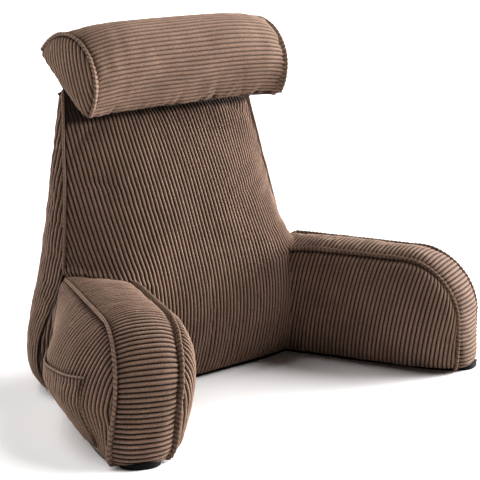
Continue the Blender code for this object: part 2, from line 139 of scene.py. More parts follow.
def softNoise(a, b, seed):
    # smooth random heights between -1 and 1 on a plane, the same on every run
    lattice = np.random.RandomState(seed).uniform(-1.0, 1.0, (64, 64))
    ia, ib = np.floor(a).astype(int), np.floor(b).astype(int)
    fa, fb = a - ia, b - ib
    fa, fb = fa * fa * (3 - 2 * fa), fb * fb * (3 - 2 * fb)
    low = lattice[ia % 64, ib % 64] * (1 - fa) + lattice[(ia + 1) % 64, ib % 64] * fa
    high = lattice[ia % 64, (ib + 1) % 64] * (1 - fa) + lattice[(ia + 1) % 64, (ib + 1) % 64] * fa
    return low * (1 - fb) + high * fb


def clothNoise(place, along, scale, seed, shift=(0.0, 0.0)):
    return softNoise(place / scale[0] + shift[0], along / scale[1] + shift[1], seed)


def smoothStep(value):
    value = np.clip(value, 0.0, 1.0)
    return value * value * (3.0 - 2.0 * value)


def between(first, second, share):
    return first + (second - first) * share


def bell(distance, reach):
    return np.exp(-((distance / reach) ** 2))


# Surfaces of the cushions. Each panel is a table: rows along the wales, and in each row the points across
# them, with the distance across the cloth at every point.


def backRows(levels):
    table = np.array(backSizes["rows"])
    heights = table[:, 0]
    slopes = np.gradient(table, heights, axis=0)
    k = np.clip(np.searchsorted(heights, levels) - 1, 0, len(heights) - 2)
    step = (heights[k + 1] - heights[k])[:, None]
    t = (levels - heights[k])[:, None] / step
    rows = ((2 * t**3 - 3 * t**2 + 1) * table[k] + (t**3 - 2 * t**2 + t) * step * slopes[k]
            + (3 * t**2 - 2 * t**3) * table[k + 1] + (t**3 - t**2) * step * slopes[k + 1])
    return rows.T[:, :, None]


def backLevels(count=240):
    return np.linspace(floorLevel, backSizes["rows"][-1][0], count)


def shifted(x, y, z):
    x, y, z = np.broadcast_arrays(x, y, z)
    return np.stack((x, y + depthShift, z), axis=-1)


def frontSurface(levels, share):
    _, half, seamY, middleY, power, _, _ = backRows(levels)
    full = (1.0 - np.abs(share) ** power) ** backSizes["fullness"]
    return shifted(half * share, seamY - (seamY - middleY) * full, levels[:, None])


def frontPanel():
    levels = backLevels()
    points = frontSurface(levels, np.sin(np.linspace(-math.pi / 2, math.pi / 2, 281))[None, :])
    across = lengthsAlong(points)
    return points, across - across[:, -1:] / 2, levels


def sideSurface(levels, side, share):
    _, half, seamY, _, _, rearHalf, rearY = backRows(levels)
    depth = np.hypot(rearHalf - half, rearY - seamY)
    outX, outY = (rearY - seamY) / depth, -(rearHalf - half) / depth
    bulge = backSizes["sideBulge"] * np.minimum(1.0, depth / backSizes["sideDepth"]) * 4 * share * (1 - share)
    x = half + (rearHalf - half) * share + outX * bulge
    return shifted(side * x, seamY + (rearY - seamY) * share + outY * bulge, levels[:, None])


def sidePanel(side):
    levels = backLevels()
    points = sideSurface(levels, side, np.linspace(0.0, 1.0, 33)[None, :])
    across = lengthsAlong(points)
    return points, across - across[:, -1:], levels


def rearPanel():
    levels = backLevels()
    _, _, _, middleY, _, rearHalf, rearY = backRows(levels)
    share = np.linspace(-1.0, 1.0, 121)[None, :]
    bulge = backSizes["rearBulge"] * np.minimum(1.0, (rearY - middleY) / backSizes["rearDepth"])
    points = shifted(rearHalf * share, rearY + bulge * (1.0 - share**2), levels[:, None])
    across = lengthsAlong(points)
    return points, across - across[:, -1:] / 2, levels


def armPoint(side, u, w, z):
    u, w, z = np.broadcast_arrays(u, w, z)
    sine, cosine = math.sin(arm["splay"]), math.cos(arm["splay"])
    across = w - arm["lean"] * z
    sag = smoothStep(1.0 - u / arm["sagLength"]) * np.clip(1.0 - w / arm["width"], 0.0, 1.0) ** 2
    z = z - arm["rootSag"] * sag * (z / arm["rootHeight"]) ** 2
    return shifted(side * (arm["rootX"] + u * sine + across * cosine),
                   arm["rootY"] - u * cosine + across * sine, z)


def armSeamHeight(u):
    top = arm["rootHeight"] + (arm["frontHeight"] - arm["rootHeight"]) * u / armStraight
    return top - arm["drop"] * np.maximum(0.0, -u / arm["overlap"])


def armPath(count=420):
    # along the top from inside the back, round the nose and down the front, as u and z
    top = np.linspace(-arm["overlap"], armStraight, count // 2, endpoint=False)
    angle = np.linspace(0.0, math.pi / 2, count // 3, endpoint=False)
    drop = np.sin(np.linspace(0.0, math.pi / 2, count // 5))
    front = between(noseBottom, floorLevel, drop)
    frontU = arm["reach"] - arm["tuck"] * drop**2 - arm["footDepth"] * footRound(front)
    noseZ = arm["frontHeight"] - arm["noseHeight"] * (1 - np.cos(angle))
    u = np.concatenate((top, armStraight + arm["noseLength"] * np.sin(angle), frontU))
    return u, np.concatenate((armSeamHeight(top), noseZ, front))


def footRound(z):
    t = np.clip(1.0 - (z - floorLevel) / arm["footHeight"], 0.0, 1.0)
    return 1.0 - np.sqrt(1.0 - t * t)


def aroundNose(u, z):
    # angle and distance from the place on the floor below the beginning of the nose
    return np.arctan2(z - floorLevel, u - armStraight), np.hypot(z - floorLevel, u - armStraight)


def armRayShare(u, z):
    pathU, pathZ = armPath()
    nose = pathU >= armStraight
    angles, reaches = aroundNose(pathU[nose], pathZ[nose])
    angle, distance = aroundNose(u, z)
    noseShare = distance / np.interp(angle, angles[::-1], reaches[::-1])
    return np.where(u <= armStraight, (z - floorLevel) / (armSeamHeight(u) - floorLevel), noseShare)


def armInset(u):
    return arm["inset"] * np.maximum(0.0, -u / arm["overlap"]) ** 1.3


def armSideSurface(side, outer, u, z, lift=0.0):
    share = np.clip(armRayShare(u, z), 0.0, 1.0)
    room = np.clip(4.0 * (1.0 - share) * (z - floorLevel) / arm["rootHeight"], 0.0, 1.0)
    seamLevel = floorLevel + (z - floorLevel) / np.maximum(share, 1e-3)
    inset = armInset(u) + arm["footInset"] * footRound(seamLevel) * share ** arm["footFade"]
    if outer:
        crest = arm["outerCrest"]
        fall = np.clip((u - crest) / (arm["reach"] - crest), 0.0, 1.0) ** 2
        low = np.clip((z - floorLevel) / arm["outerFlatHeight"], 0.0, 1.0)
        bulge = between(arm["outerRootBulge"], arm["outerBulge"], smoothStep(u / crest))
        bulge = bulge * (1.0 - arm["outerNoseFall"] * fall) * low ** arm["outerFlatness"]
        swell = bulge * room ** arm["outerFullness"] + lift
        return armPoint(side, u, arm["width"] + swell - inset, z)
    noseward = np.clip(u / armStraight, 0.0, 1.0)
    bulge = between(arm["innerRootBulge"], arm["innerBulge"], noseward)
    return armPoint(side, u, inset - (bulge * room ** arm["innerFullness"] + lift), z)


def armSidePanel(side, outer):
    u, z = armPath()
    seam = u >= 0.0
    levels, frontU = z[seam][::-1], u[seam][::-1]
    slope = arm["drop"] / arm["overlap"]
    rootU = np.maximum(-arm["overlap"], -(arm["rootHeight"] - levels) / slope)
    share = np.sin(np.linspace(-math.pi / 2, math.pi / 2, 161))[None, :] / 2 + 0.5
    rowU = between(rootU[:, None], frontU[:, None], share)
    points = armSideSurface(side, outer, rowU, levels[:, None])
    across = lengthsAlong(points)
    zero = np.array([np.interp(0.0, rowU[k], across[k]) for k in range(len(levels))])
    across = across - zero[:, None]
    if outer:
        tilt = arm["outerWaleTilt"] * levels + arm["outerWaleTurn"] * levels**2
        return points, pulledCloth(across) - tilt[:, None], levels
    return points, across - arm["waleTilt"] * levels[:, None], levels


def pulledCloth(distance):
    # distance across the flat cloth for a distance over the stuffed panel
    places = np.linspace(-0.2, 0.6, 401)
    pulled = smoothStep((places - arm["pullFrom"]) / (arm["pullTo"] - arm["pullFrom"]))
    width = 1.0 + (arm["pullWidth"] - 1.0) * (1.0 - pulled)
    flat = np.cumsum(1.0 / width) * (places[1] - places[0])
    return np.interp(distance, places, flat) - np.interp(0.0, places, flat)


def armTopSurface(side, u, z, t):
    tangent = unit(np.gradient(np.stack((u, z), axis=1), axis=0))
    rootward = np.maximum(0.0, 1.0 - np.maximum(u, 0.0) / armStraight)
    footward = np.maximum(0.0, 1.0 - (z - floorLevel) / (noseBottom - floorLevel))
    crown = between(arm["crown"], arm["rootCrown"], rootward**2)
    crown = crown + (arm["footCrown"] - arm["crown"]) * footward
    crown = crown * (1.0 - np.abs(2.0 * t - 1.0) ** arm["crownPower"])
    fade = np.clip((z - floorLevel) / arm["fadeHeight"], 0.0, 1.0)
    inset = armInset(u) + arm["footInset"] * footRound(z)
    return armPoint(side, u - crown * tangent[:, 1], inset + (arm["width"] - 2 * inset) * t,
                    z + crown * tangent[:, 0] * fade)


def armTopPanel(side):
    u, z = armPath()
    shares = np.linspace(0.0, 1.0, 25)
    points = np.stack([armTopSurface(side, u, z, t) for t in shares])
    along = (lengthsAlong(points[len(shares) // 2]) + lengthsAlong(points[0])) / 2
    return points, np.broadcast_to(along, points.shape[:2]), shares * arm["width"]


def headrestFrame():
    front, rear = np.array(headrest["front"]), np.array(headrest["rear"])
    along = (rear - front) / np.linalg.norm(rear - front)
    return front, rear, along, np.array((-along[1], along[0]))


def headrestFullness(x):
    return (1.0 - np.clip(np.abs(x) / headrest["half"], 0.0, 1.0) ** 4) ** headrest["bellyPower"]


def headrestFront(x):
    # the front seam, drawn back a little where the bolster is fullest
    front, rear, along, up = headrestFrame()
    full = headrestFullness(x)[:, None, None]
    return front + along * headrest["draw"] * full, rear, up, full


def headrestCentre():
    front, rear, _, up = headrestFrame()
    return (front + rear) / 2 + up * headrest["sag"] * headrest["centreShare"]


def headrestHeart():
    centre = headrestCentre()
    return np.array((0.0, centre[0] + depthShift, centre[1]))


def headrestArc(x, angle):
    front, rear, up, full = headrestFront(x)
    middle, half = (front + rear) / 2, (rear - front) / 2
    swell = headrest["sag"] + headrest["belly"] * full
    cosine, sine = np.cos(angle)[None, :, None], np.sin(angle)[None, :, None]
    arc = middle - half * cosine + up * swell * sine ** headrest["arcPower"]
    return shifted(x[:, None], arc[..., 0], arc[..., 1])


def evenCloth(points, x):
    # the cloth is cut straight, so every row across it is as long as the mean one
    across = lengthsAlong(points)
    return points, across / across[:, -1:] * across[:, -1].mean(), x


def headrestPanel():
    x = np.linspace(-headrest["half"], headrest["half"], 121)
    return evenCloth(headrestArc(x, np.linspace(0.0, math.pi, 201)), x)


def headrestUnderPanel():
    x = np.linspace(-headrest["half"], headrest["half"], 121)
    front, rear, up, full = headrestFront(x)
    t = np.linspace(0.0, 1.0, 61)[None, :, None]
    bulge = headrest["under"] * between(headrest["endFlat"], 1, full) * 4 * t * (1 - t)
    line = between(front, rear, t) - up * bulge
    return evenCloth(shifted(x[:, None], line[..., 0], line[..., 1]), x)


def headrestEndOutline():
    front, rear, _, up = headrestFrame()
    arc = headrestArc(np.array((headrest["half"],)), np.linspace(0.0, math.pi, 181))[0][:, 1:]
    t = np.linspace(1.0, 0.0, 61)[1:-1, None]
    bulge = headrest["under"] * headrest["endFlat"] * 4 * t * (1 - t)
    return np.concatenate((arc - np.array((depthShift, 0.0)), between(front, rear, t) - up * bulge))


def headrestEndPanel(side):
    outline, centre = headrestEndOutline(), headrestCentre()
    tilt = headrest["endWaleTilt"]
    wale, cross = np.array((math.sin(tilt), math.cos(tilt))), np.array((math.cos(tilt), -math.sin(tilt)))
    heights, places = (outline - centre) @ wale, (outline - centre) @ cross
    levels = np.linspace(heights.min() + 1e-5, heights.max() - 1e-5, 160)
    heights, places = np.append(heights, heights[0]), np.append(places, places[0])
    rows = []
    for level in levels:
        cut = np.nonzero((heights[:-1] - level) * (heights[1:] - level) <= 0.0)[0]
        share = (level - heights[cut]) / (heights[cut + 1] - heights[cut] + 1e-12)
        found = between(places[cut], places[cut + 1], np.clip(share, 0, 1))
        rows.append((found.min(), found.max()))
    rows = np.array(rows)
    across = between(rows[:, :1], rows[:, 1:], np.linspace(0.0, 1.0, 81)[None, :])
    offset = levels[:, None, None] * wale + across[..., None] * cross
    turn = np.arctan2(outline[:, 1] - centre[1], outline[:, 0] - centre[0])
    order = np.argsort(turn)
    radius = np.linalg.norm(outline - centre, axis=1)
    angle = np.arctan2(offset[..., 1], offset[..., 0])
    edge = np.interp(angle, turn[order], radius[order], period=2 * math.pi)
    dome = np.sqrt(np.clip(1.0 - (np.linalg.norm(offset, axis=-1) / edge) ** 2, 0.0, 1.0))
    flat = centre + offset
    x = headrest["half"] + headrest["endBulge"] * dome
    return shifted(side * x, flat[..., 0], flat[..., 1]), across, levels


# Cloth simulation: a copy of each stuffed solid is blown up against its held seams, and the small folds that
# this makes are carried over to the finely meshed cover.
simulation = {
    "voxel": 0.0075, "frames": 20, "cap": 0.0022, "held": 0.009, "smoothing": 30, "kept": 0.15,
    "cloth": {
        "quality": 5, "mass": 0.25, "tension_stiffness": 15.0, "compression_stiffness": 15.0,
        "shear_stiffness": 5.0, "bending_stiffness": 0.4, "use_pressure": True,
        "uniform_pressure_force": 3.0, "shrink_min": -0.012, "vertex_group_mass": "held",
    },
}


def linkedPiece(name, mesh):
    piece = bpy.data.objects.new(name, mesh)
    scene.collection.objects.link(piece)
    return piece


def weldedCopy(name):
    mesh = bmesh.new()
    mesh.from_mesh(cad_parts[name].data)
    bmesh.ops.remove_doubles(mesh, verts=mesh.verts, dist=1e-5)
    data = bpy.data.meshes.new(name + "Blank")
    mesh.to_mesh(data)
    mesh.free()
    return data


def evaluatedMesh(piece):
    graph = bpy.context.evaluated_depsgraph_get()
    return bpy.data.meshes.new_from_object(piece.evaluated_get(graph), depsgraph=graph)


def meshArrays(mesh):
    mesh.calc_loop_triangles()
    points = np.empty(len(mesh.vertices) * 3)
    mesh.vertices.foreach_get("co", points)
    triangles = np.empty(len(mesh.loop_triangles) * 3, int)
    mesh.loop_triangles.foreach_get("vertices", triangles)
    return points.reshape(-1, 3), triangles.reshape(-1, 3)


def nearestTo(points, targets, reach):
    # true where a point lies within reach of any target; the targets come in groups, to save memory
    near = np.zeros(len(points), bool)
    for start in range(0, len(targets), 200):
        part = targets[start:start + 200]
        near |= (np.linalg.norm(points[:, None, :] - part[None, :, :], axis=2) < reach).any(axis=1)
    return near


def smallFolds(mesh, move, held):
    # the move without the broad swelling, and none longer than the cap
    edges = np.empty(len(mesh.edges) * 2, int)
    mesh.edges.foreach_get("vertices", edges)
    edges = edges.reshape(-1, 2)
    count = np.bincount(edges.ravel(), minlength=len(move))[:, None]
    broad = move.copy()
    for _ in range(simulation["smoothing"]):
        total = np.zeros_like(broad)
        np.add.at(total, edges[:, 0], broad[edges[:, 1]])
        np.add.at(total, edges[:, 1], broad[edges[:, 0]])
        broad = total / np.maximum(count, 1)
        broad[held] = 0.0
    move = move - broad * (1.0 - simulation["kept"])
    size = np.linalg.norm(move, axis=1, keepdims=True)
    return move * np.minimum(1.0, simulation["cap"] / np.maximum(size, 1e-9)), float(size.mean())


def blowUp(name, seams, carried):
    source = linkedPiece(name + "Blank", weldedCopy(name))
    remesh = source.modifiers.new("remesh", "REMESH")
    remesh.mode = "VOXEL"
    remesh.voxel_size = simulation["voxel"]
    blank = evaluatedMesh(source)
    bpy.data.objects.remove(source)
    piece = linkedPiece(name + "Blown", blank)
    before, triangles = meshArrays(blank)
    held = nearestTo(before, seams, simulation["held"]) | (before[:, 2] < floorLevel + simulation["held"])
    group = piece.vertex_groups.new(name="held")
    group.add([int(k) for k in np.nonzero(held)[0]], 1.0, "REPLACE")
    cloth = piece.modifiers.new("cloth", "CLOTH")
    for setting, value in simulation["cloth"].items():
        setattr(cloth.settings, setting, value)
    cloth.settings.effector_weights.gravity = 0.0
    cloth.collision_settings.use_collision = False
    cloth.point_cache.frame_end = simulation["frames"]
    for step in range(1, simulation["frames"] + 1):
        scene.frame_set(step)
    after, _ = meshArrays(evaluatedMesh(piece))
    scene.frame_set(1)
    bpy.data.objects.remove(piece)
    move, mean = smallFolds(blank, after - before, held)
    tree = BVHTree.FromPolygons(before.tolist(), triangles.tolist())
    print("blown up", name, len(before), "points, mean move", round(mean * 1000, 2), "mm")
    return {"tree": tree, "points": before, "triangles": triangles, "move": move * carried}


def carriedMove(blown, points):
    if blown is None:
        return np.zeros_like(points)
    flat = points.reshape(-1, 3)
    found = [blown["tree"].find_nearest(point) for point in flat.tolist()]
    index = np.array([hit[2] for hit in found])
    place = np.array([tuple(hit[0]) for hit in found])
    corners = blown["points"][blown["triangles"][index]]
    a, b, c = corners[:, 0], corners[:, 1], corners[:, 2]
    v0, v1, v2 = b - a, c - a, place - a
    d00, d01, d11 = (v0 * v0).sum(1), (v0 * v1).sum(1), (v1 * v1).sum(1)
    d20, d21 = (v2 * v0).sum(1), (v2 * v1).sum(1)
    scale = np.maximum(d00 * d11 - d01 * d01, 1e-18)
    second, third = (d11 * d20 - d01 * d21) / scale, (d00 * d21 - d01 * d20) / scale
    weights = np.clip(np.stack((1.0 - second - third, second, third), axis=1), 0.0, 1.0)
    moves = blown["move"][blown["triangles"][index]]
    return (moves * weights[:, :, None]).sum(axis=1).reshape(points.shape)


# Corduroy patches: a panel's table becomes a grid whose columns follow the wales


def waleHeight(across):
    # a broad round ridge and a narrow valley, from 0 to 1
    phase = np.abs((across / corduroy["pitch"]) % 1.0 - 0.5) * 2.0
    return np.sqrt(np.clip(1.0 - (phase / corduroy["ridge"]) ** corduroy["roundness"], 0.0, 1.0))


def evenRows(points, across, count=400):
    # the same rows, with points at even distances across the cloth
    even = np.linspace(0.0, 1.0, count)
    low, high = across[:, 0], across[:, -1]
    rows = np.empty((len(points), count, 3))
    for k in range(len(points)):
        places = low[k] + (high[k] - low[k]) * even
        for axis in range(3):
            rows[k, :, axis] = np.interp(places, across[k], points[k, :, axis])
    return rows, low, high


def tableAt(rows, row, share):
    r = np.clip(row, 0.0, rows.shape[0] - 1.0001)
    c = np.clip(share * (rows.shape[1] - 1), 0.0, rows.shape[1] - 1.0001)
    i, j = r.astype(int), c.astype(int)
    fr, fc = (r - i)[..., None], (c - j)[..., None]
    return ((rows[i, j] * (1 - fc) + rows[i, j + 1] * fc) * (1 - fr)
            + (rows[i + 1, j] * (1 - fc) + rows[i + 1, j + 1] * fc) * fr)


def crossing(low, high, place, k, step):
    # row where the edge of the panel passes this place, between row k and the next row out
    out = k + step
    if out < 0 or out >= len(low):
        return float(k)
    edge = low if place < low[out] else high
    share = (place - edge[k]) / (edge[out] - edge[k] + 1e-12)
    return k + step * float(np.clip(share, 0.0, 1.0))


def waleColumns(panel, perWale, rowStep):
    # one column of points for each place across the wales, from where it enters the panel to where it leaves
    points, across, heights = panel
    rows, low, high = evenRows(points, across)
    index = np.arange(len(heights))
    spacing = corduroy["pitch"] / perWale
    places = np.arange(low.min(), high.max(), spacing)
    places = np.append(places, high.max()) if high.max() - places[-1] > spacing * 0.3 else places
    starts, ends, kept = [], [], []
    for place in places:
        inside = np.nonzero((low <= place + 1e-7) & (place - 1e-7 <= high))[0]
        if len(inside) < 2:
            continue
        span = (crossing(low, high, place, inside[0], -1), crossing(low, high, place, inside[-1], 1))
        start, end = np.interp(span, index, heights)
        if abs(end - start) >= corduroy["shortest"]:
            starts.append(start)
            ends.append(end)
            kept.append(place)
    starts, ends, kept = (np.array(values)[:, None] for values in (starts, ends, kept))
    count = max(6, int(round(float((ends - starts).max()) / rowStep)) + 1)
    level = between(starts, ends, np.linspace(0.0, 1.0, count)[None, :])
    row = np.interp(level, heights, index)
    rowLow, rowHigh = np.interp(row, index, low), np.interp(row, index, high)
    share = np.clip((kept - rowLow) / np.maximum(rowHigh - rowLow, 1e-9), 0.0, 1.0)
    place = np.broadcast_to(kept, level.shape)
    return tableAt(rows, row, share), place, np.minimum(place - rowLow, rowHigh - place)


def walePatch(panel, outward, blown, seed, perWale=corduroy["perWale"], rowStep=corduroy["rowStep"],
              depth=1.0, groove=corduroy["groove"], extra=None, flat=None, tone=None):
    base, place, side = waleColumns(panel, perWale, rowStep)
    # distance from the patch's own edge, along the wale and across it
    along = lengthsAlong(base)
    edge = np.minimum(np.minimum(along, along[:, -1:] - along), np.maximum(side, 0.0))
    moved = base + carriedMove(blown, base)
    sign = 1.0 if outward(base.reshape(-1, 3), patchNormals(base).reshape(-1, 3)) else -1.0
    normals = patchNormals(moved) * sign
    free = smoothStep(edge / corduroy["freeReach"])
    wander = clothNoise(place, along, corduroy["wanderScale"], seed, (7.3, 0.0)) * corduroy["wander"] * free
    dent = clothNoise(place, along, corduroy["dentScale"], seed + 50, (0.0, 3.1))
    dent += clothNoise(place, along, corduroy["broadDentScale"], seed + 90, (9.0, 0.0))
    dent *= corduroy["dent"] * free
    pull = np.exp(-edge / corduroy["puckerReach"]) * smoothStep(edge / corduroy["puckerStart"])
    pucker = clothNoise(place, along, corduroy["puckerScale"], seed + 20) * corduroy["pucker"] * pull
    jitter = 1.0 + corduroy["jitter"] * clothNoise(place, along, corduroy["jitterScale"], seed + 5)
    fade = between(corduroy["seamHeight"], 1, smoothStep(edge / corduroy["seamFade"]))
    wale = waleHeight(place)
    relief = corduroy["height"] * depth * (wale * jitter - 0.5) * fade
    if flat:
        relief = relief * flat(base)
    # the cloth dips beside its seams, and painted shade darkens its colour there
    relief = relief - groove * bell(edge, corduroy["grooveReach"]) + dent + pucker
    if extra:
        relief = relief + extra(base, place, along)
    wale = 1.0 - (1.0 - wale) * min(1.0, depth)
    wale = wale * (1.0 - corduroy["seamShade"] * bell(edge, corduroy["seamShadeReach"]))
    # a tone passed in paints shade into the colour, such as under the headrest or beside an arm's inner
    # flange
    if tone:
        wale = wale * tone(base, along)
    final = moved + normals * relief[..., None] + unit(np.gradient(moved, axis=0)) * wander[..., None]
    final[..., 2] = np.maximum(final[..., 2], floorLevel)
    return closeEdges(final, normals, place, along, wale, sign)


def patchNormals(grid):
    return unit(np.cross(np.gradient(grid, axis=0), np.gradient(grid, axis=1)))


def closeEdges(grid, normals, place, along, wale, sign):
    # turn the raw edges of the patch inwards, as a seam allowance
    depth = corduroy["tuck"]
    inner = grid - normals * depth
    inner[..., 2] = np.maximum(inner[..., 2], floorLevel)

    def wrapped(values, rim):
        body = np.concatenate((rim[:, :1], values, rim[:, -1:]), axis=1)
        first = np.concatenate((rim[:1, :1], rim[:1], rim[:1, -1:]), axis=1)
        last = np.concatenate((rim[-1:, :1], rim[-1:], rim[-1:, -1:]), axis=1)
        return np.concatenate((first, body, last), axis=0)

    return {"grid": wrapped(grid, inner), "place": wrapped(place, place), "along": wrapped(along, along),
            "wale": wrapped(wale * np.ones_like(along), np.zeros_like(along)), "flip": sign < 0}


def patchFaces(shape, first, flip):
    columns, rows = shape
    index = np.arange(columns * rows).reshape(columns, rows) + first
    quads = np.stack((index[:-1, :-1], index[1:, :-1], index[1:, 1:], index[:-1, 1:]), axis=-1).reshape(-1, 4)
    return quads[:, ::-1] if flip else quads


def addPiece(name, patches, material):
    points, faces, uv, wale = [], [], [], []
    first = 0
    for patch in patches:
        grid = patch["grid"]
        points.append(grid.reshape(-1, 3))
        faces.append(patchFaces(grid.shape[:2], first, patch["flip"]))
        uv.append(np.stack((patch["place"], patch["along"]), axis=-1).reshape(-1, 2))
        wale.append(patch["wale"].reshape(-1))
        first += grid.shape[0] * grid.shape[1]
    points, faces, uv, wale = (np.concatenate(values) for values in (points, faces, uv, wale))
    corners = points[faces]
    area = np.linalg.norm(np.cross(corners[:, 2] - corners[:, 0], corners[:, 3] - corners[:, 1]), axis=1)
    faces = faces[area > 1e-11]
    return meshPiece(name, points, faces, uv, wale, material)


def meshPiece(name, points, faces, uv, wale, material):
    mesh = bpy.data.meshes.new(name)
    mesh.vertices.add(len(points))
    mesh.vertices.foreach_set("co", points.astype(np.float32).ravel())
    mesh.loops.add(faces.size)
    mesh.loops.foreach_set("vertex_index", faces.astype(np.int32).ravel())
    mesh.polygons.add(len(faces))
    mesh.polygons.foreach_set("loop_start", np.arange(0, faces.size, faces.shape[1], dtype=np.int32))
    mesh.update(calc_edges=True)
    layer = mesh.uv_layers.new(name="cloth")
    layer.data.foreach_set("uv", uv[faces.ravel()].astype(np.float32).ravel())
    attribute = mesh.attributes.new("wale", "FLOAT", "POINT")
    attribute.data.foreach_set("value", wale.astype(np.float32))
    cleaned = bmesh.new()
    cleaned.from_mesh(mesh)
    loose = [vert for vert in cleaned.verts if not vert.link_faces]
    bmesh.ops.delete(cleaned, geom=loose, context="VERTS")
    cleaned.to_mesh(mesh)
    cleaned.free()
    mesh.shade_smooth()
    mesh.materials.append(material)
    return linkedPiece(name, mesh)


def pointsAway(heart):
    heart = np.array(heart)
    return lambda points, normals: float(((points - heart) * normals).sum(axis=1).mean()) > 0.0


# Cloth finishes. A noise has its scale or its stretch across and along the wales, its detail, and the darkest
# and lightest tone that it gives the colour.
brownCord = {
    # the valley colour is the ground weave between the wales, made far darker than the ridge as painted shade
    # in the valleys
    "ridge": (0.168, 0.103, 0.072, 1.0), "valley": (0.012, 0.006, 0.004, 1.0), "deep": (0.25, 0.95),
    "surface": {"Roughness": 0.92, "Sheen Weight": 0.14, "Sheen Roughness": 0.55,
                "Sheen Tint": (0.58, 0.38, 0.28, 1.0), "Specular IOR Level": 0.15},
    "nap": (26.0, 3.0, 0.86, 1.12),
    "fibre": ((1900.0, 700.0, 1.0), 4.0, 0.72, 1.26),
    "tuft": ((300.0, 420.0, 1.0), 2.0, 0.74, 1.24),
    "bump": {"Strength": 0.6, "Distance": 0.0008},
}
blackCloth = {
    "thread": (0.0050, 0.0050, 0.0055, 1.0), "between": (0.0012, 0.0012, 0.0014, 1.0),
    "surface": {"Roughness": 0.9, "Sheen Weight": 0.01, "Specular IOR Level": 0.1},
    "wave": {"Scale": 260.0, "Distortion": 1.2}, "worn": {"Scale": 40.0},
    "bump": {"Strength": 0.5, "Distance": 0.0004},
}


def addNode(tree, kind, sockets, **settings):
    # a socket's value is a number, a colour or another node's output, which is linked to it
    node = tree.nodes.new("ShaderNode" + kind)
    for name, value in settings.items():
        setattr(node, name, value)
    for name, value in sockets.items():
        if isinstance(value, bpy.types.NodeSocket):
            tree.links.new(value, node.inputs[name])
        else:
            node.inputs[name].default_value = value
    return node


def addMath(tree, operation, first, second):
    return addNode(tree, "Math", {0: first, 1: second}, operation=operation).outputs["Value"]


def addNoise(tree, vector, scale, detail, dark, light):
    # the noise's height and its tone
    noise = addNode(tree, "TexNoise", {"Vector": vector, "Scale": scale, "Detail": detail}).outputs["Fac"]
    span = {"Value": noise, "From Min": 0.3, "From Max": 0.7, "To Min": dark, "To Max": light}
    return noise, addNode(tree, "MapRange", span).outputs["Result"]


def newMaterial(name, surface):
    material = bpy.data.materials.new(name)
    material.use_nodes = True
    shader = material.node_tree.nodes["Principled BSDF"]
    for socket, value in surface.items():
        shader.inputs[socket].default_value = value
    return material, material.node_tree, shader


def finishShader(tree, shader, color, height, bump):
    tree.links.new(color, shader.inputs["Base Color"])
    normal = addNode(tree, "Bump", {"Height": height, **bump}).outputs["Normal"]
    tree.links.new(normal, shader.inputs["Normal"])


def corduroyMaterial(name, finish):
    material, tree, shader = newMaterial(name, finish["surface"])
    wale = addNode(tree, "Attribute", {}, attribute_name="wale").outputs["Fac"]
    cloth = addNode(tree, "UVMap", {}, uv_map="cloth").outputs["UV"]
    place = addNode(tree, "TexCoord", {}).outputs["Object"]
    # ridge to valley colour by the wale attribute, which also carries painted shade beside the seams, under
    # the headrest and beside the arms' inner flanges
    low, high = finish["deep"]
    deep = addNode(tree, "MapRange", {"Value": wale, "From Min": low, "From Max": high}).outputs["Result"]
    mixed = {"Factor": deep, "A": finish["valley"], "B": finish["ridge"]}
    color = addNode(tree, "Mix", mixed, data_type="RGBA").outputs["Result"]
    # broad shading of the nap where it has been brushed or pressed
    tone = addNoise(tree, place, *finish["nap"])[1]
    # pile fibres, and tufts a few millimetres long, both drawn out along the wale
    heights = []
    for stretch, *rest in (finish["fibre"], finish["tuft"]):
        vector = addNode(tree, "Mapping", {"Vector": cloth, "Scale": stretch}).outputs["Vector"]
        height, fineTone = addNoise(tree, vector, 1.0, *rest)
        heights.append(height)
        tone = addMath(tree, "MULTIPLY", tone, fineTone)
    shade = addNode(tree, "VectorMath", {0: color, "Scale": tone}, operation="SCALE")
    finishShader(tree, shader, shade.outputs["Vector"], addMath(tree, "ADD", *heights), finish["bump"])
    return material


def blackClothMaterial(name, finish):
    material, tree, shader = newMaterial(name, finish["surface"])
    place = addNode(tree, "TexCoord", {}).outputs["Object"]
    warp, weft = (addNode(tree, "TexWave", {"Vector": place, **finish["wave"]}, wave_type="BANDS",
                          bands_direction=way).outputs["Fac"] for way in "XY")
    weave = addMath(tree, "MULTIPLY", warp, weft)
    worn = addNode(tree, "TexNoise", {"Vector": place, **finish["worn"]}).outputs["Fac"]
    mixed = {"Factor": addMath(tree, "ADD", weave, worn), "A": finish["between"], "B": finish["thread"]}
    color = addNode(tree, "Mix", mixed, data_type="RGBA").outputs["Result"]
    finishShader(tree, shader, color, weave, finish["bump"])
    return material


cordMaterial = corduroyMaterial("brownCorduroy", brownCord)
blackMaterial = blackClothMaterial("blackBaseCloth", blackCloth)


# Raised flanges: a soft double edge that stands on the seam, ribbed by the wales that run into it
flange = {
    "height": 0.0068, "lowBack": 0.0050, "foot": 0.005, "half": 0.0020, "rib": 0.0009, "step": 0.0008,
    "slant": 0.0022, "fade": 0.012, "tone": 0.5, "endHeight": 0.35,
    "wave": 0.0007, "waveLength": 0.02, "lean": 0.0008, "leanLength": 0.035,
    # the section goes from -1 to 1: up one side, over the rounded fold and down the other
    "fold": 0.7, "neck": 0.85, "neckWidth": 0.95, "footWidth": 0.9,
}
armFlangeSizes = {"innerStart": 0.030, "outerStart": 0.006, "besideSeam": 0.07, "inward": 0.95, "heart": 0.3}
backFlangeSizes = {"frontShare": 0.985, "sideShare": 0.08, "ribbed": 0.3}
headrestFlangeSizes = {
    "from": 0.06, "to": math.pi - 0.02, "inner": 0.006, "inward": 0.06, "out": 0.005, "outward": 1.2,
    "fade": 0.004,
}


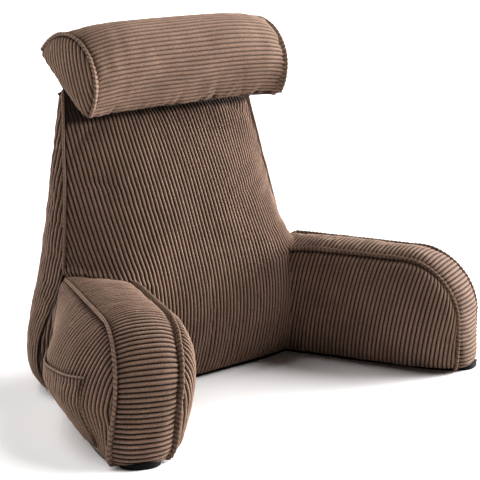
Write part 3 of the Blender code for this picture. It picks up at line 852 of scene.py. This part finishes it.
def seamDirection(seam, first, second, heart):
    tangent = unit(np.gradient(seam, axis=0))
    towardFirst = unit(np.cross(tangent, np.cross(first - seam, tangent)))
    towardSecond = unit(np.cross(tangent, np.cross(second - seam, tangent)))
    halfway = np.cross(tangent, towardFirst - towardSecond)
    return unit(halfway * np.sign(np.sum(halfway * (seam - heart), axis=1, keepdims=True)))


def evenPath(values, step):
    # the same seam with its points at even steps; the first three columns are the place
    length = lengthsAlong(values[:, :3])
    places = np.linspace(0.0, length[-1], int(length[-1] / step) + 1)
    return np.stack([np.interp(places, length, values[:, k]) for k in range(values.shape[1])], axis=1), places


def cappedTube(grid, line, centre, place, around, wale):
    # the rings run along the line, and both ends are drawn together to a point
    outward = (patchNormals(grid) * (grid - line[:, None, :])).sum()
    count = grid.shape[1]
    grid = np.concatenate((np.repeat(centre[:1], count, axis=1), grid, np.repeat(centre[-1:], count, axis=1)))
    place, around, wale = (np.concatenate((v[:1], v, v[-1:])) for v in (place, around, wale))
    # the wales cross the tube, so the cloth's own across runs along the line
    return {"grid": grid, "place": place, "along": around, "wale": wale, "flip": outward < 0}


def flangePatch(seam, direction, height, seed, ribbed=1.0, fade=flange["fade"]):
    data, along = evenPath(np.concatenate((seam, direction), axis=1), flange["step"])
    seam, direction = data[:, :3], unit(data[:, 3:])
    across = unit(np.cross(unit(np.gradient(seam, axis=0)), direction))
    wave = softNoise(along / flange["waveLength"], along * 0.0 + 0.5, seed) * flange["wave"]
    lean = softNoise(along / flange["leanLength"], along * 0.0 + 4.5, seed + 1) * flange["lean"]
    ends = smoothStep(np.minimum(along, along[-1] - along) / fade)
    fold, neck = flange["fold"], flange["neck"]
    grid, ribs = [], []
    # the ribs slant across the section
    for turn in (-1.0, -neck, *np.linspace(-fold, fold, 7), neck, 1.0):
        rib = 0.7 + ribbed * (waleHeight(along + flange["slant"] * turn) - 0.7)
        side = flange["half"] + (rib - 0.5) * flange["rib"]
        proud = (rib - 0.6) * flange["rib"] * 1.4
        top = height * between(flange["endHeight"], 1.0, ends) + proud + wave * ends
        if abs(turn) < neck:
            angle = (turn / fold + 1.0) * math.pi / 2
            out, up = -side * math.cos(angle), top - side + side * math.sin(angle)
        elif abs(turn) < 1.0:
            out, up = math.copysign(flange["neckWidth"], turn) * side, top * 0.3
        else:
            out, up = math.copysign(flange["footWidth"], turn) * side, -flange["foot"] + 0.0 * top
        grid.append(seam + across * (out + lean * up / height)[:, None] + direction * up[:, None])
        ribs.append(between(flange["tone"], 1.0, rib))
    grid, ribs = np.stack(grid, axis=1), np.stack(ribs, axis=1)
    place = np.repeat(along[:, None], grid.shape[1], axis=1)
    return cappedTube(grid, seam, grid.mean(axis=1, keepdims=True), place, lengthsAlong(grid), ribs)


def armFlange(side, outer, seed):
    sizes = armFlangeSizes
    u, z = armPath()
    keep = u > sizes["outerStart" if outer else "innerStart"]
    keep[-1] = False
    spine = np.minimum(u, armStraight)
    seam = armTopSurface(side, u, z, 1.0 if outer else 0.0)
    top = armTopSurface(side, u, z, 1.0 - sizes["besideSeam"] if outer else sizes["besideSeam"])
    sideways = armSideSurface(side, outer, between(spine, u, sizes["inward"]),
                              between(floorLevel, z, sizes["inward"]))
    heart = armPoint(side, spine, arm["width"] / 2, between(floorLevel, z, sizes["heart"]))
    direction = seamDirection(seam, top, sideways, heart)
    return flangePatch(seam[keep], direction[keep], flange["height"], seed)


def backFlange(side, seed):
    levels = np.linspace(backSizes["flangeFoot"], backSizes["flangeTop"], 200)
    seam = sideSurface(levels, side, np.array([[0.0]]))[:, 0]
    front = frontSurface(levels, np.array([[side * backFlangeSizes["frontShare"]]]))[:, 0]
    rearward = sideSurface(levels, side, np.array([[backFlangeSizes["sideShare"]]]))[:, 0]
    direction = seamDirection(seam, front, rearward, rearward * np.array((0.0, 1.0, 1.0)))
    return flangePatch(seam, direction, flange["lowBack"], seed, ribbed=backFlangeSizes["ribbed"])


def headrestFlange(side, seed):
    sizes = headrestFlangeSizes
    angle = np.linspace(sizes["from"], sizes["to"], 160)
    half = headrest["half"]
    seam, inner = (headrestArc(np.array((x,)), angle)[0] for x in (half, half - sizes["inner"]))
    seam[:, 0] *= side
    inner[:, 0] *= side
    heart = headrestHeart()
    end = seam + (heart - seam) * np.array((0.0, sizes["inward"], sizes["inward"]))
    end = end + np.array((side * sizes["out"], 0.0, 0.0))
    direction = seamDirection(seam, inner, end, heart) + np.array((side * sizes["outward"], 0.0, 0.0))
    return flangePatch(seam, unit(direction), flange["height"], seed, fade=sizes["fade"])


# Pocket on the outer side of the left arm
pocket = {
    "start": 0.020, "end": 0.291, "foot": 0.0185, "mouthRear": 0.103, "mouthFront": 0.123, "sag": 1.6,
    "lift": 0.0012, "gape": 0.0028, "thickness": 0.0016, "rim": 0.0017, "waleTilt": 0.16, "frontRim": 0.6,
    # how much longer the cloth over the stuffed arm is than the way along it
    "overArm": 1.05,
    # how far inside its edges the arm's wales are pressed flat
    "flatBelow": 0.02, "flatUnderMouth": 0.006, "flatFade": 0.004,
    "rope": {"points": 11, "rib": 0.4, "thin": 0.80, "swell": 0.3, "around": 0.0017,
             "side": (-0.9, -0.1, 0.0)},
}


def pocketShare(u):
    return np.clip((u - pocket["start"]) / (pocket["end"] - pocket["start"]), 0.0, 1.0)


def mouthHeight(u):
    return between(pocket["mouthRear"], pocket["mouthFront"], pocketShare(u) ** pocket["sag"])


def pocketLift(u, z):
    rise = np.clip((z - pocket["foot"]) / (mouthHeight(u) - pocket["foot"]), 0.0, 1.0)
    return pocket["lift"] + pocket["gape"] * rise**3 * np.sin(math.pi * pocketShare(u)) ** 0.7


def pocketPanel():
    start, end = pocket["start"], pocket["end"]
    rear, front = pocket["mouthRear"], pocket["mouthFront"]
    levels = np.linspace(pocket["foot"], front, 90)
    over = np.clip((levels - rear) / (front - rear), 0, 1)
    lowU = np.minimum(between(start, end, over ** (1 / pocket["sag"])), end - 0.002)
    rowU = between(lowU[:, None], end, np.linspace(0.0, 1.0, 101)[None, :])
    z = levels[:, None] + 0.0 * rowU
    points = armSideSurface(-1.0, True, rowU, z, pocketLift(rowU, z) + pocket["thickness"])
    across = lengthsAlong(points) + (lowU - start)[:, None] * pocket["overArm"]
    return points, pulledCloth(across) - pocket["waleTilt"] * levels[:, None], levels


def underPocket(base):
    # the arm's own wales are pressed flat where the pocket lies on them
    u, z = armCoordinates(base, -1.0)
    inside = np.minimum(np.minimum(u - pocket["start"], pocket["end"] - u),
                        np.minimum(z - pocket["foot"] + pocket["flatBelow"],
                                   mouthHeight(u) - pocket["flatUnderMouth"] - z))
    return 1.0 - smoothStep(inside / pocket["flatFade"])


def armCoordinates(points, side):
    x, y = side * points[..., 0] - arm["rootX"], points[..., 1] - depthShift - arm["rootY"]
    return x * math.sin(arm["splay"]) - y * math.cos(arm["splay"]), points[..., 2]


def deepFaces(piece, tree, depth):
    # the part of an arm that lies well inside the back is never sewn or seen
    mesh = bmesh.new()
    mesh.from_mesh(piece.data)
    deep = []
    for vert in mesh.verts:
        place, normal, _, distance = tree.find_nearest(vert.co)
        if distance > depth and (vert.co - place).dot(normal) < 0.0:
            deep.append(vert)
    bmesh.ops.delete(mesh, geom=deep, context="VERTS")
    mesh.to_mesh(piece.data)
    mesh.free()
    return len(deep)


def nodeTree(name):
    points, triangles = meshArrays(weldedCopy(name))
    return BVHTree.FromPolygons(points.tolist(), triangles.tolist())


def dressPiece(piece, nodes):
    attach(piece, "root")
    if nodes:
        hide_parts(*nodes)


def seamPoints(*panels):
    # points along the outer edges of panels, thinned
    edges = []
    for points, _, _ in panels:
        edges += [points[::6, 0], points[::6, -1], points[0, ::6], points[-1, ::6]]
    return np.concatenate(edges)


def buildBack():
    front, left, right, rear = frontPanel(), sidePanel(-1.0), sidePanel(1.0), rearPanel()
    blown = blowUp("back_cushion", seamPoints(front, rear), 1.0)
    away = pointsAway(backSizes["heart"])
    patches = [
        # the front panel's colour carries painted shade under the headrest
        walePatch(front, away, blown, 3, rowStep=0.0045, depth=1.12, groove=0.0036, extra=frontCreases,
                  tone=paintedShadeUnderHeadrest),
        walePatch(left, away, blown, 11, rowStep=0.008),
        walePatch(right, away, blown, 12, rowStep=0.008),
        walePatch(rear, away, blown, 13, perWale=6, rowStep=0.010),
    ]
    piece = addPiece("backCover", patches, cordMaterial)
    dressPiece(piece, ["back_cushion"])
    print("back cover", len(piece.data.polygons), "faces")


# Folds of the front panel, each with its level, its height or depth and how far it reaches
frontFolds = {
    "gatherLevel": 0.375, "gatherRise": 0.075, "gather": 0.0028,
    "tuckLevel": 0.424, "tuckRise": 0.008, "tuck": 0.003,
    "creaseLevel": 0.342, "creaseSlope": 0.25, "crease": 0.0030, "creaseReach": 0.007,
    "rollLevel": arm["rootHeight"] + 0.007, "rollSlope": 0.25, "roll": 0.0040, "rollReach": 0.006,
    "wrinkle": 0.0022, "wrinkleReach": 0.022,
    # painted shade under the headrest: its level, its slope, how far it rises and how dark it gets
    "paintedShadeLevel": 0.4165, "paintedShadeSlope": 0.030, "paintedShadeRise": 0.010, "paintedShadeStrength": 0.8,
}


def frontCreases(base, place, along):
    x, z, wide = base[..., 0], base[..., 2], np.abs(base[..., 0])
    folds = frontFolds
    # cloth gathered where the headrest is sewn on: short creases that run down from the top
    gather = np.sin(place / 0.021 + 1.3 * np.sin(place / 0.033)) * softNoise(place / 0.02, z / 0.05, 31)
    height = gather * smoothStep((z - folds["gatherLevel"]) / folds["gatherRise"]) * folds["gather"]
    # the cloth is drawn in right under the headrest
    height -= folds["tuck"] * smoothStep((z - folds["tuckLevel"]) / folds["tuckRise"])
    # a soft crease across the left edge, and a roll of cloth just above each arm
    crease = z - folds["creaseLevel"] + folds["creaseSlope"] * (x + 0.2)
    height -= folds["crease"] * bell(crease, folds["creaseReach"]) * smoothStep((-0.115 - x) / 0.05)
    roll = z - (folds["rollLevel"] - folds["rollSlope"] * (0.22 - wide))
    outward = smoothStep((wide - 0.10) / 0.05)
    height += folds["roll"] * bell(roll, folds["rollReach"]) * outward
    wrinkle = folds["wrinkle"] * softNoise(z / 0.009, x / 0.05, 33)
    return height + wrinkle * bell(roll, folds["wrinkleReach"]) * outward


def paintedShadeUnderHeadrest(base, along):
    # painted shade: the cloth's colour is darkened in the crease under the headrest, where its shadow falls
    level = frontFolds["paintedShadeLevel"] + frontFolds["paintedShadeSlope"] * (0.20 - np.abs(base[..., 0]))
    return 1.0 - frontFolds["paintedShadeStrength"] * smoothStep((base[..., 2] - level) / frontFolds["paintedShadeRise"])


# An arm's top strip dips deeper beside its inner flange, and painted shade darkens its colour there
topDip = {"depth": 0.0034, "reach": 0.0065, "shade": 0.6, "shadeReach": 0.0055}


def topGroove(base, place, along):
    return -topDip["depth"] * bell(along, topDip["reach"])


def topShade(base, along):
    return 1.0 - topDip["shade"] * bell(along, topDip["shadeReach"])


def buildArm(word, side):
    inner, outer, top = armSidePanel(side, False), armSidePanel(side, True), armTopPanel(side)
    seams = np.concatenate((top[0][0, ::4], top[0][-1, ::4]))
    blown = blowUp("arm_" + word, seams, 0.5)
    away = pointsAway(armPoint(side, *armHeart))
    seed, flat = (40, underPocket) if side < 0 else (60, None)
    patches = [
        walePatch(inner, away, blown, seed),
        walePatch(outer, away, blown, seed + 1, rowStep=0.0055, depth=1.3, flat=flat),
        # the top strip carries painted shade beside its inner flange
        walePatch(top, away, blown, seed + 2, rowStep=0.003, groove=0.0026, extra=topGroove, tone=topShade),
    ]
    piece = addPiece("armCover" + word.capitalize(), patches, cordMaterial)
    removed = deepFaces(piece, nodeTree("back_cushion"), arm["hiddenDepth"])
    dressPiece(piece, ["arm_" + word])
    print("arm cover", word, len(piece.data.polygons), "faces,", removed, "hidden points left out")
    return blown


# Folds of the headrest: pinched folds at its lower seam, with their places along it and how they slant
headrestFolds = {
    "pinches": ((0.232, 0.5), (0.262, -0.3), (0.291, 0.4), (0.322, -0.4), (0.350, 0.3), (0.045, 0.3)),
    "pinch": 0.0030, "pinchWidth": 0.0045, "pinchReach": 0.022,
    "pucker": 0.0024, "puckerReach": 0.018, "endGather": 0.0022, "endReach": 0.018,
}


def headrestCreases(base, place, along):
    folds = headrestFolds
    height = softNoise(along / 0.010, place / 0.05, 91) * folds["pucker"]
    height = height * np.exp(-place / folds["puckerReach"])
    for start, slope in folds["pinches"]:
        pinch = bell(along - start - slope * place, folds["pinchWidth"])
        height -= folds["pinch"] * pinch * np.exp(-place / folds["pinchReach"])
    end = np.minimum(along, along[:, -1:] - along)
    gather = softNoise(place / 0.0085, along / 0.03, 92) * folds["endGather"]
    return height + gather * np.exp(-end / folds["endReach"])


def buildHeadrest():
    main, under = headrestPanel(), headrestUnderPanel()
    outline = main[0]
    seams = np.concatenate((outline[[0, -1], ::4].reshape(-1, 3), outline[::4, 0], outline[::4, -1]))
    blown = blowUp("headrest", seams, 0.25)
    away = pointsAway(headrestHeart())
    patches = [
        walePatch(main, away, blown, 80, rowStep=0.003, depth=0.65, extra=headrestCreases),
        walePatch(under, away, blown, 81, perWale=6, rowStep=0.009),
        walePatch(headrestEndPanel(-1.0), away, blown, 82, depth=0.8),
        walePatch(headrestEndPanel(1.0), away, blown, 83, depth=0.8),
    ]
    piece = addPiece("headrestCover", patches, cordMaterial)
    dressPiece(piece, ["headrest"])
    print("headrest cover", len(piece.data.polygons), "faces")


def buildFlanges():
    for seed, (word, side) in enumerate((("Left", -1.0), ("Right", 1.0))):
        strips = {
            "flangeInner": armFlange(side, False, 200 + seed),
            "flangeOuter": armFlange(side, True, 210 + seed),
            "flangeBack": backFlange(side, 220 + seed),
            "flangeHeadrest": headrestFlange(side, 230 + seed),
        }
        for name, patch in strips.items():
            piece = addPiece(name + word, [patch], cordMaterial)
            dressPiece(piece, [f"flange_{name[6:].lower()}_{word.lower()}"])
    print("flanges done")


def buildPocket(blown):
    away = pointsAway(armPoint(-1.0, *armHeart))
    patch = walePatch(pocketPanel(), away, blown, 70, rowStep=0.005, depth=1.2, groove=0.0)
    piece = addPiece("pocketLeft", [patch], cordMaterial)
    dressPiece(piece, ["pocket_left"])
    # the hem runs along the mouth and down the front edge, where it is thinner
    mouth = np.linspace(pocket["start"] - 0.002, pocket["end"], 200)
    down = np.linspace(pocket["mouthFront"], pocket["foot"], 80)
    u = np.concatenate((mouth, np.full(len(down), pocket["end"])))
    z = np.concatenate((mouthHeight(mouth), down))
    path = armSideSurface(-1.0, True, u, z, pocketLift(u, z) + pocket["thickness"] * 0.6)
    path = path + carriedMove(blown, path)
    share = 1.0 - (1.0 - pocket["frontRim"]) * (np.arange(len(u)) >= len(mouth))
    hem = addPiece("pocketHem", [ropePatch(path, pocket["rim"] * share)], cordMaterial)
    dressPiece(hem, [])
    print("pocket done")


def ropePatch(path, radius):
    rope = pocket["rope"]
    data, along = evenPath(np.concatenate((path, radius[:, None]), axis=1), flange["step"])
    data, radius = data[:, :3], data[:, 3]
    tangent = unit(np.gradient(data, axis=0))
    # sideways from the arm, so that the rope keeps its turn round the pocket's corner
    side = unit(np.array(rope["side"]) + 0.0 * tangent)
    side = unit(side - tangent * np.sum(side * tangent, axis=1, keepdims=True))
    up = np.cross(side, tangent)
    rib = between(1.0 - rope["rib"], 1.0, waleHeight(along))
    radius = (radius * (rope["thin"] + rope["swell"] * rib))[:, None]
    angles = np.linspace(0.0, 2 * math.pi, rope["points"])
    grid = np.stack([data + (side * math.cos(a) + up * math.sin(a)) * radius for a in angles], axis=1)
    place, ribs = (np.repeat(values[:, None], len(angles), axis=1) for values in (along, rib))
    around = np.broadcast_to(angles * rope["around"], place.shape)
    return cappedTube(grid, data, data[:, None], place, around, ribs)


# Where the black base cloth turns up over the rounded foot of an arm it shows as a thin crescent
turnUp = {"height": 0.0058, "margin": 0.05, "out": 0.0048, "foot": 0.0006, "straight": 0.0075, "bow": 0.7}


def buildTurnUps():
    u, z = armPath()
    front = u > armStraight
    shares = np.linspace(turnUp["margin"], 1.0 - turnUp["margin"], 31)
    for word, side in (("Left", -1.0), ("Right", 1.0)):
        forward = np.array((side * math.sin(arm["splay"]), -math.cos(arm["splay"]), 0.0))
        grid = []
        for k, t in enumerate(shares):
            curve = armTopSurface(side, u, z, t)[front][::-1]
            bow = math.sin(math.pi * k / (len(shares) - 1)) ** turnUp["bow"]
            levels = np.linspace(turnUp["foot"], floorLevel + turnUp["height"] * bow, 7)
            # below the straight level it stands upright to the floor and doesn't follow the nose inwards
            held = np.maximum(levels, turnUp["straight"] * (0.3 + 0.7 * bow))
            x, y = (np.interp(held, curve[:, 2], curve[:, axis]) for axis in (0, 1))
            grid.append(np.stack((x, y, levels), axis=1) + forward * turnUp["out"] * (0.4 + 0.6 * bow))
        grid = np.stack(grid)
        along = lengthsAlong(grid)
        place = np.broadcast_to((shares * arm["width"])[:, None], along.shape)
        sign = (patchNormals(grid) * forward).sum()
        patch = closeEdges(grid, np.broadcast_to(forward, grid.shape), place, along, 1.0, sign)
        piece = addPiece("baseTurnUp" + word, [patch], blackMaterial)
        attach(piece, "root")
    print("base cloth turned up at the arms' feet")


buildBack()
leftBlown = buildArm("left", -1.0)
buildArm("right", 1.0)
buildHeadrest()
buildFlanges()
buildPocket(leftBlown)
buildTurnUps()

# black cloths: flat size, area, what each lies on and what is sewn to it
blackSheets = {
    "base_back": ((0.504, 0.169), 0.0751, "backCover", []),
    "base_arm_left": ((0.341, 0.090), 0.0275, "armCoverLeft", ["baseTurnUpLeft"]),
    "base_arm_right": ((0.341, 0.090), 0.0275, "armCoverRight", ["baseTurnUpRight"]),
    "headrest_tape": ((0.372, 0.024), None, "headrestCover", []),
}
for name, (flat, area, carrier, sewn) in blackSheets.items():
    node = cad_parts[name]
    node.data.materials.clear()
    node.data.materials.append(blackMaterial)


# Floor and soft studio light
studio = {
    # turn round the pillow from the front, height above the floor, strength and softness of each light
    "lights": (
        ("wideRight", 78.0, 5.0, 18.5, 35.0),
        ("highRight", 60.0, 46.0, 3.1, 35.0),
        ("highRear", 215.0, 65.0, 1.6, 40.0),
        ("lowRear", 197.0, 5.0, 6.6, 35.0),
        ("frontFill", 0.0, 5.0, 0.2, 50.0),
    ),
    "floorHalf": 150.0,
    "floor": {"Base Color": (0.97, 0.965, 0.963, 1.0), "Roughness": 0.9, "Specular IOR Level": 0.0},
    "air": (1.0, 1.0, 1.0, 1.0),
}


def buildStudio():
    floorMesh = bpy.data.meshes.new("studioFloor")
    half = studio["floorHalf"]
    corners = [(x * half, y * half, 0) for x, y in ((-1, -1), (1, -1), (1, 1), (-1, 1))]
    floorMesh.from_pydata(corners, [], [(0, 1, 2, 3)])
    floorMesh.materials.append(newMaterial("studioWhite", studio["floor"])[0])
    linkedPiece("studioFloor", floorMesh)
    for name, turn, height, strength, softness in studio["lights"]:
        lamp = bpy.data.lights.new(name, "SUN")
        lamp.energy = strength
        lamp.angle = math.radians(softness)
        light = linkedPiece(name, lamp)
        turn, height = math.radians(turn), math.radians(height)
        flat = math.cos(height)
        toward = Vector((math.sin(turn) * flat, -math.cos(turn) * flat, math.sin(height)))
        light.rotation_euler = toward.to_track_quat("Z", "Y").to_euler()
    # the air beyond the floor looks white but adds no light
    world = bpy.data.worlds.new("studio")
    world.use_nodes = True
    air = world.node_tree.nodes["Background"]
    air.inputs["Color"].default_value = studio["air"]
    seen = world.node_tree.nodes.new("ShaderNodeLightPath")
    world.node_tree.links.new(seen.outputs["Is Camera Ray"], air.inputs["Strength"])
    scene.world = world
    scene.view_settings.view_transform = "Standard"


buildStudio()
